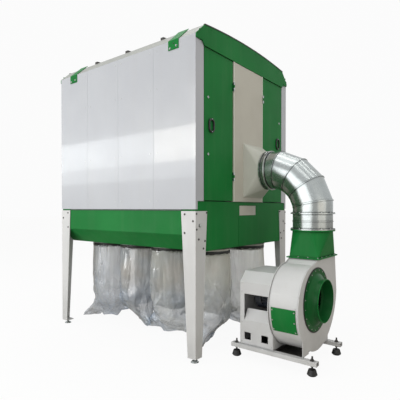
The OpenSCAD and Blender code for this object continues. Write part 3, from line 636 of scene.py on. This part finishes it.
def inlet_fittings():
    """Gasket, bolts and rolled rim of the fan's inlet; the black gasket is widened so that it also paints the
    shade at the ring's edge.
    """
    ring_t, bolt_circle, bolt_count, bolt_r = 0.008, 0.283, 20, 0.0065
    # Painted shade in part: the black gasket reaches out past the ring's edge
    gasket_in, gasket_out, gasket_t = 0.294, 0.308, 0.0065
    rim_r, bead_r, bead_points = 0.2015, 0.0045, 12
    gasket = Shape()
    section = [(gasket_in, 0.0), (gasket_out, 0.0), (gasket_out, gasket_t), (gasket_in, gasket_t)]
    gasket.hoop((SHAFT_X, SHAFT_Y, SHAFT_Z), (1, 0, 0), section, 96)
    gasket.piece("inlet_gasket", RUBBER, "plant", "rubber", smooth=SOFT)
    bolts = Shape()
    for k in range(bolt_count):
        a = 2 * math.pi * (k + 0.5) / bolt_count
        at = (SHAFT_X + ring_t, SHAFT_Y + bolt_circle * math.cos(a), SHAFT_Z + bolt_circle * math.sin(a))
        bolts.bolt(at, (1, 0, 0), bolt_r, a)
    bolts.piece("inlet_bolts", BOLT, "plant", "galvanised", smooth=SOFT)
    rim = Shape()
    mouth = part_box("fan_inlet")[1].x - bead_r
    turns = spread(0, 2 * math.pi * (bead_points - 1) / bead_points, bead_points)
    bead = [(rim_r + bead_r * math.cos(b), bead_r * math.sin(b)) for b in turns]
    rim.hoop((mouth, SHAFT_Y, SHAFT_Z), (1, 0, 0), bead, 96)
    rim.piece("spigot_rim", GREEN, "plant", "green_paint", smooth=60)


def hatch_bolts():
    """Bolts round the scroll's hatch, square to its curve."""
    scroll_r, growth, start, hatch_t = 0.335, 0.076, 98, 0.005
    first, last, inset, bolt_r = 187, 213, 0.013, 0.0075
    low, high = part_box("scroll_hatch")
    bolts = Shape()
    for degrees in spread(first, last, 3):
        a = math.radians(degrees)
        reach = scroll_r + growth * (degrees - start) / 90 + hatch_t
        out = (0, math.cos(a), math.sin(a))
        for x in (low.x + inset, high.x - inset):
            bolts.bolt((x, SHAFT_Y + reach * out[1], SHAFT_Z + reach * out[2]), out, bolt_r)
    bolts.piece("hatch_bolts", BOLT, "plant", "galvanised", smooth=SOFT)


def duct_bolts():
    """Bolts through the flanges of transition and drop duct."""
    flange_t, bolt_circle, bolt_count, bolt_r = 0.012, 0.211, 12, 0.009
    line_x, line_y, run_x, run_y = 0.161, 0.241, 0.150, 0.170
    low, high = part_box("transition")
    fall_x, fall_y = middle_of("transition", 0), middle_of("transition", 1)
    bolts = Shape()
    for z in (high.z + flange_t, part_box("drop_duct")[1].z):
        for k in range(bolt_count):
            a = 2 * math.pi * (k + 0.5) / bolt_count
            at = (fall_x + bolt_circle * math.cos(a), fall_y + bolt_circle * math.sin(a), z)
            bolts.bolt(at, (0, 0, 1), bolt_r, a)
    seat = low.z + flange_t
    for side in SIDES:
        for x in spread(-run_x, run_x, 4):
            bolts.bolt((fall_x + x, fall_y + side * line_y, seat), (0, 0, 1), bolt_r)
        for y in spread(-run_y, run_y, 4):
            bolts.bolt((fall_x + side * line_x, fall_y + y, seat), (0, 0, 1), bolt_r)
    bolts.piece("flange_bolts", BOLT, "plant", "galvanised", smooth=SOFT)


def collar_clamp():
    """Quick clamp round the collar's flange, with its hub and lever."""
    band = [(0.2105, -0.010), (0.2155, -0.008), (0.2165, 0.0), (0.2155, 0.008), (0.2105, 0.010)]
    hub_r, hub_half, hub_reach = 0.010, 0.012, 0.216
    handle, handle_off = [(0.004, 0.0), (0.006, 0.05), (0.005, 0.075)], 0.006
    lever = math.radians(118)
    joint_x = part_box("hood_collar")[1].x - 0.006
    joint = (joint_x, middle_of("hood_collar", 1), middle_of("hood_collar", 2))
    clamp = Shape()
    clamp.hoop(joint, (1, 0, 0), band, 72)
    out = Vector((0, math.cos(lever), math.sin(lever)))
    hub = Vector(joint) + hub_reach * out
    clamp.lathe(hub - Vector((hub_half, 0, 0)), (1, 0, 0), [(hub_r, 0.0), (hub_r, 2 * hub_half)], 16)
    clamp.lathe(hub + handle_off * out, (0, -out.z, out.y), handle, 12)
    clamp.piece("collar_clamp", BOLT, "plant", "galvanised", smooth=SOFT)


def rail_studs():
    """Nut, washer and stud end over each rubber foot, and the nut under the rail."""
    from_end, from_side = 0.050, 0.030
    washer_top, nut_top = 0.003, 0.014
    washer = [(0.020, 0.0), (0.020, washer_top)]
    nut = [(0.0155, 0.0), (0.0155, 0.011), (0.013, 0.014)]
    stud = [(0.008, 0.0), (0.008, 0.024), (0.006, 0.027)]
    lower_nut = [(0.0155, 0.0), (0.0155, 0.010), (0.013, 0.012)]
    low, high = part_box("fan_rails")
    up, down = (0, 0, 1), (0, 0, -1)
    studs = Shape()
    for x in (low.x + from_end, high.x - from_end):
        for y in (low.y + from_side, high.y - from_side):
            studs.lathe((x, y, high.z), up, washer, 24)
            studs.lathe((x, y, high.z + washer_top), up, nut, 6)
            studs.lathe((x, y, high.z + nut_top), up, stud, 16)
            studs.lathe((x, y, low.z), down, lower_nut, 6)
    studs.piece("rail_studs", STEEL, "plant", "dark_steel", smooth=30)


def strap_buckles():
    """Toggle buckle on each bag strap."""
    reach, back, front = 0.236, 0.003, 0.006
    left, right, bottom, top = 0.030, 0.022, 0.991, 1.018
    pin, pin_low, pin_off = [(0.006, 0.0), (0.006, 0.029)], 0.990, 0.003
    buckles = Shape()
    for side in SIDES:
        for i in range(MODULES):
            x = BLIND_X + (i + 0.5) * MODULE
            y0, y1 = sorted((side * (BAG_ROW_Y + reach - back), side * (BAG_ROW_Y + reach + front)))
            buckles.box((x - left, y0, bottom), (x + right, y1, top), edge=0.003)
            buckles.lathe((x - left, (y0 + y1) / 2 + side * pin_off, pin_low), (0, 0, 1), pin, 12)
    buckles.piece("strap_buckles", STEEL, "plant", "dark_steel", smooth=SOFT)


def cover_screws():
    """Screws along the upright edges of the motor cover and along its end."""
    inset, end_inset, end_z = 0.018, 0.05, 0.160
    heights = (0.155, 0.345, 0.650, 0.735)
    low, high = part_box("motor_cover")
    screws = Shape()
    for y, out in ((low.y, -1), (high.y, 1)):
        for x in (low.x + inset, high.x - inset):
            for z in heights:
                screws.screw((x, y, z), (0, out, 0), SCREW_R)
    for y in spread(low.y + end_inset, high.y - end_inset, 4):
        screws.screw((low.x, y, end_z), (-1, 0, 0), SCREW_R)
    screws.piece("cover_screws", BOLT, "plant", "galvanised", smooth=SOFT)


panel_screws()
joint_seals()
bracket_bolts()
cap_trim()
door_fittings("front_door", -1)
door_fittings("rear_door", 1)
panel_trims()
door_gaskets()
leg_bolts()
hopper_trim()
inlet_fittings()
hatch_bolts()
duct_bolts()
collar_clamp()
rail_studs()
strap_buckles()
cover_screws()

# Collection bags of clear film, one for each outlet
FILM_R = 0.245
COLLAR_R = 0.2305
BAG_FOOT = 0.042
FLOOR_GAP = 0.006
SEAM_HALF = 0.385
AROUND = 216
DOWN = 136
WALL_CREASES = 120
FOOT_CREASES = 44
# Turn of each bag's seam in degrees, and the rise of its foot from one ear to the other
SEAMS = {
    "front": (
        (40, ((-1.0, -0.026), (-0.42, -0.012), (-0.36, 0.012), (-0.30, -0.030),
              (0.20, -0.034), (0.34, 0.045), (1.0, 0.09))),
        (-25, ((-1.0, 0.075), (-0.5, 0.045), (0.1, 0.010), (0.46, -0.030), (0.62, 0.0), (1.0, 0.03))),
        (16, ((-1.0, 0.010), (-0.34, 0.012), (-0.24, -0.032), (0.20, -0.012), (0.7, -0.030), (1.0, 0.02))),
        (96, ((-1.0, 0.0), (-0.35, -0.030), (0.30, 0.020), (0.75, 0.085), (1.0, 0.070)))),
    "rear": (
        (55, ((-1.0, 0.02), (-0.4, -0.02), (0.1, 0.03), (1.0, 0.05))),
        (25, ((-1.0, 0.03), (-0.2, -0.02), (0.4, 0.02), (1.0, -0.01))),
        (48, ((-1.0, 0.0), (-0.5, 0.04), (0.3, -0.02), (1.0, 0.04))),
        (35, ((-1.0, 0.10), (-0.6, 0.05), (-0.1, -0.02), (0.5, 0.02), (1.0, 0.04)))),
}


def smooth_step(value, low, high):
    """Rises softly from 0 at low to 1 at high."""
    t = np.clip((value - low) / (high - low), 0.0, 1.0)
    return t * t * (3 - 2 * t)


def waves(rng, points, scale, count=14):
    """Smooth noise from random plane waves, between about -1 and 1."""
    total = np.zeros(points.shape[0])
    for _ in range(count):
        direction = rng.normal(size=3)
        direction *= scale / np.linalg.norm(direction) * rng.uniform(0.5, 1.5)
        total += np.sin(points @ direction + rng.uniform(0, 2 * math.pi))
    return total / math.sqrt(count)


def crease(across, beside, width, length):
    """Height of one sharp straight crease, 1 on its ridge."""
    return np.exp(-np.abs(across) / width - (beside / length) ** 2)


def wall_creases(rng, angle, down):
    """Creases of the tube: upright and long near the strap, short and slanting near the foot."""
    girth = 2 * math.pi * FILM_R
    drop = STRAP_LOW - BAG_FOOT
    total = np.zeros_like(angle)
    for _ in range(WALL_CREASES):
        low = rng.uniform(0.02, 1.0) ** 0.6
        lean = rng.normal() * (0.14 + 0.85 * low * low)
        s = (angle * FILM_R - rng.uniform(0, girth) + girth / 2) % girth - girth / 2
        z = (down - low) * drop
        across = s * math.cos(lean) - z * math.sin(lean)
        beside = s * math.sin(lean) + z * math.cos(lean)
        depth = rng.uniform(0.004, 0.016) * (0.4 + 0.9 * low) * rng.choice((-1.0, 1.0))
        length = rng.uniform(0.10, 0.32) * (1.3 - 0.8 * low)
        total += depth * crease(across, beside, rng.uniform(0.012, 0.040), length)
    return total


def foot_creases(rng, u, z):
    """Creases of the flat foot: fans that start at both ears, and short ones between them."""
    total = np.zeros_like(u)
    for ear in (-1.0, 1.0):
        run = SEAM_HALF + 0.02 - ear * u
        bearing = np.arctan2(z - BAG_FOOT + 0.02, run)
        reach = np.hypot(run, z - BAG_FOOT)
        ribs = np.abs(np.sin(7.0 * bearing + rng.uniform(0, 3))) - 0.6
        total += 0.10 * reach * ribs * np.exp(-(reach / 0.26) ** 2)
    for _ in range(FOOT_CREASES):
        lean = rng.uniform(-1.5, 1.5)
        du = u - rng.uniform(-SEAM_HALF, SEAM_HALF)
        dz = z - BAG_FOOT - rng.uniform(0.0, 0.28)
        across = du * math.cos(lean) - dz * math.sin(lean)
        beside = du * math.sin(lean) + dz * math.cos(lean)
        depth = rng.uniform(0.008, 0.026) * rng.choice((-1.0, 1.0))
        total += depth * crease(across, beside, rng.uniform(0.014, 0.040), rng.uniform(0.06, 0.16))
    return total


def wall_push(rng, angle, down, z):
    """How far the tube's wall stands out: pleats under the strap, long folds, bulges and creases."""
    first = 0.35 * np.sin(2 * angle + rng.uniform(0, 6))
    second = 0.2 * np.sin(5 * angle + rng.uniform(0, 6))
    wander = angle + first + second
    pleats = 0.0055 * np.exp(-down / 0.16) * np.abs(np.sin(9 * wander + 2.0 * down))
    folds = np.zeros_like(z)
    for k in (3, 5, 7, 11):
        lean = rng.uniform(-2.6, 2.6)
        folds += np.abs(np.sin(0.5 * k * wander + lean * down + rng.uniform(0, 6))) / k
    folds = 0.036 * (folds - folds.mean()) * smooth_step(down, 0.03, 0.40)
    around = np.stack([FILM_R * np.cos(angle), FILM_R * np.sin(angle), 1.5 * z], 1)
    bulges = 0.011 * waves(rng, around, 26.0) * smooth_step(down, 0.22, 0.62)
    return pleats + folds + bulges + wall_creases(rng, angle, down) * smooth_step(down, 0.01, 0.20)


def tuck_rows(x, y, phi, spin):
    """Rows of points of the film that is tucked up under the strap."""
    rows = []
    ruffle = 0.0028 * np.abs(np.sin(9 * (phi + 0.35 * np.sin(2 * phi))))
    for lift, extra in ((0.020, 0.010), (0.008, 0.005), (0.0, 0.001)):
        reach = COLLAR_R + extra + ruffle * (lift > 0.001)
        row = []
        for r, a in zip(reach, phi):
            row.append((x + r * math.cos(a + spin), y + r * math.sin(a + spin), STRAP_HIGH + lift))
        rows.append(row)
    return rows


def film_bag(name, x, y, turn, seed, foot_line):
    """A tube of film that hangs from its strap and ends in a flat welded seam with two ears."""
    rng = np.random.default_rng(seed)
    phi = np.linspace(0, 2 * math.pi, AROUND, endpoint=False)
    t = np.linspace(0, 1, DOWN) ** 0.9
    angle, down = (g.ravel() for g in np.meshgrid(phi, t))
    z = STRAP_LOW + (BAG_FOOT - STRAP_LOW) * down
    flat = smooth_step(down, 0.62, 1.0) ** 1.6
    ears = smooth_step(down, 0.76, 1.0) ** 1.5
    swell = smooth_step(down, 0.0, 0.32)
    waist = 1.0 - 0.10 * np.exp(-((down - 0.80) / 0.15) ** 2)
    radius = (COLLAR_R + (FILM_R - COLLAR_R) * swell) * waist
    half_long = radius + (SEAM_HALF - radius) * ears
    half_thick = radius * (1 - flat) + 0.0015
    across = np.cos(angle)
    along = np.sin(angle)
    push = wall_push(rng, angle, down, z) * (1 - 0.9 * flat)
    normal = np.stack([across / half_long, along / np.maximum(half_thick, 0.04)], 1)
    normal /= np.linalg.norm(normal, axis=1)[:, None]
    u = half_long * across + push * normal[:, 0]
    v = half_thick * along + push * normal[:, 1]
    # Both layers of the flat foot sway together, and its seam is ragged
    sheet = np.stack([u, np.zeros_like(u), z], 1)
    v = v + flat * (0.050 * waves(rng, sheet, 7.0) + foot_creases(rng, u, z))
    v = v + 0.030 * smooth_step(down, 0.35, 1.0) * math.sin(rng.uniform(0, 6))
    places, lifts = zip(*foot_line)
    ragged = np.interp(u / SEAM_HALF, places, lifts) + 0.008 * waves(rng, sheet, 30.0)
    z = np.maximum(z + smooth_step(down, 0.66, 1.0) ** 1.4 * ragged, FLOOR_GAP)
    spin = math.radians(turn)
    px = x + u * math.cos(spin) - v * math.sin(spin)
    py = y + u * math.sin(spin) + v * math.cos(spin)
    cloud = np.stack([px, py, z], 1).reshape(DOWN, AROUND, 3)
    rows = tuck_rows(x, y, phi, spin)
    rows.extend([tuple(p) for p in row] for row in cloud)
    shape = Shape()
    shape.grid(rows, True)
    bag = shape.piece(name, FILM, "plant", "bag_film", smooth=42)
    return bag


for row_name, side in (("front", -1), ("rear", 1)):
    row_bags = []
    for i, (seam_turn, foot_rise) in enumerate(SEAMS[row_name]):
        middle = BLIND_X + (i + 0.5) * MODULE
        seed = 40 + 7 * i + side
        bag_name = f"{row_name}_bag_{i + 1}"
        row_bags.append(film_bag(bag_name, middle, side * BAG_ROW_Y, seam_turn, seed, foot_rise))
    for bag in row_bags:
        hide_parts(f"{row_name}_bags")

# Camera at the photograph's place
camera_data = bpy.data.cameras.new("camera")
camera_data.lens = 34.90
camera_data.sensor_width = 36.0
camera_data.shift_y = 0.0351
camera = bpy.data.objects.new("camera", camera_data)
camera.location = (2.8721, -3.7837, 1.4767)
camera.rotation_euler = Euler((math.radians(90 - 0.88), 0.0, math.radians(38.03)))
bpy.context.scene.collection.objects.link(camera)
bpy.context.scene.camera = camera


def white_floor():
    """A floor that looks white, takes the object's shadow, and lights the object as a warm grey one."""
    reach, white_part = 60.0, 0.93
    f = Finish("floor")
    white = f.add("ShaderNodeEmission")
    white.inputs["Strength"].default_value = 1.0
    path = f.add("ShaderNodeLightPath")
    seen = f.maths("MAXIMUM", path.outputs["Is Camera Ray"], path.outputs["Is Transmission Ray"])
    blend = f.add("ShaderNodeMixShader")
    f.feed(blend.inputs["Fac"], f.maths("MULTIPLY", seen, white_part))
    f.set(Base_Color=f.mixed(seen, rgb(178, 173, 163), rgb(236, 236, 236)), Roughness=0.9)
    f.feed(blend.inputs[1], f.shader.outputs["BSDF"])
    f.feed(blend.inputs[2], white.outputs["Emission"])
    f.feed(f.tree.nodes["Material Output"].inputs["Surface"], blend.outputs["Shader"])
    corners = [(-reach, -reach, 0), (reach, -reach, 0), (reach, reach, 0), (-reach, reach, 0)]
    mesh = bpy.data.meshes.new("floor")
    mesh.from_pydata(corners, [], [(0, 1, 2, 3)])
    mesh.materials.append(f.material)
    floor = bpy.data.objects.new("floor", mesh)
    bpy.context.scene.collection.objects.link(floor)


def lamp(name, at, towards, width, height, power, colour):
    """A soft rectangular lamp, aimed at a point."""
    data = bpy.data.lights.new(name, "AREA")
    data.shape = "RECTANGLE"
    data.size = width
    data.size_y = height
    data.energy = power
    data.color = colour
    obj = bpy.data.objects.new(name, data)
    obj.location = at
    obj.rotation_euler = (Vector(towards) - Vector(at)).to_track_quat("-Z", "Y").to_euler()
    bpy.context.scene.collection.objects.link(obj)


def studio_world():
    """Dim light all round, a brighter surround in reflections, and a white background."""
    world = bpy.data.worlds.new("studio")
    bpy.context.scene.world = world
    world.use_nodes = True
    tree = world.node_tree
    tree.nodes.clear()

    def background(colour, strength):
        """Even light from all round."""
        node = tree.nodes.new("ShaderNodeBackground")
        node.inputs["Color"].default_value = colour
        node.inputs["Strength"].default_value = strength
        return node.outputs["Background"]

    def either(factor, a, b):
        """Shader a where the factor is 0, and b where it is 1."""
        node = tree.nodes.new("ShaderNodeMixShader")
        tree.links.new(factor, node.inputs["Fac"])
        tree.links.new(a, node.inputs[1])
        tree.links.new(b, node.inputs[2])
        return node.outputs["Shader"]

    dim = background((1.0, 0.975, 0.94, 1.0), 0.50)
    mirrored = background((0.97, 0.99, 1.0, 1.0), 0.77)
    bright = background((1.0, 1.0, 1.0, 1.0), 0.968)
    rays = tree.nodes.new("ShaderNodeLightPath").outputs
    seen = tree.nodes.new("ShaderNodeMath")
    seen.operation = "MAXIMUM"
    tree.links.new(rays["Is Camera Ray"], seen.inputs[0])
    tree.links.new(rays["Is Transmission Ray"], seen.inputs[1])
    surround = either(rays["Is Glossy Ray"], dim, mirrored)
    out = tree.nodes.new("ShaderNodeOutputWorld")
    tree.links.new(either(seen.outputs["Value"], surround, bright), out.inputs["Surface"])


white_floor()

# A band of windows, mirrored in the side panels: X and Z of the middle, width, height, power and tint
WINDOW_Y = -5.95
WINDOWS = (
    ("window_left", -7.55, 3.20, 5.3, 0.90, 78, (0.95, 0.99, 1.0)),
    ("window_right", -3.75, 3.20, 2.3, 0.90, 58, (1.0, 0.985, 0.92)),
    ("window_sill", -6.40, 2.52, 7.6, 0.46, 27, (0.94, 0.98, 1.0)),
)
for window_name, window_x, window_z, wide, high, power, tint in WINDOWS:
    lamp(window_name, (window_x, WINDOW_Y, window_z), (window_x, 0.0, window_z), wide, high, power, tint)

# The other lamps: place, aim, width, height, power and tint
LAMPS = (
    ("low_fill", (-4.6, -5.6, 0.75), (-0.4, 0.0, 0.5), 2.0, 0.7, 34, (0.98, 0.99, 1.0)),
    ("front_key", (-0.6, -8.0, 2.7), (-0.2, 0.0, 1.5), 8.6, 5.2, 255, (0.98, 0.99, 1.0)),
    ("end_fill", (6.0, -1.2, 2.4), (0.6, 0.0, 1.8), 4.4, 3.2, 32, (1.0, 0.93, 0.83)),
    ("soft_top", (0.0, -1.0, 7.0), (0.0, -1.0, 0.0), 6.0, 6.0, 85, (1.0, 1.0, 1.0)),
)
for lamp_row in LAMPS:
    lamp(*lamp_row)
STRIP_X = 1.2
STRIP_Z = 6.6
STRIPS_Y = (-2.6, 0.2, 2.6)
for i, strip_y in enumerate(STRIPS_Y):
    at, under = (STRIP_X, strip_y, STRIP_Z), (STRIP_X, strip_y, 0.0)
    lamp(f"ceiling_strip_{i + 1}", at, under, 6.4, 0.26, 24, (1.0, 0.99, 0.96))
studio_world()
bpy.context.scene.view_settings.view_transform = "Standard"
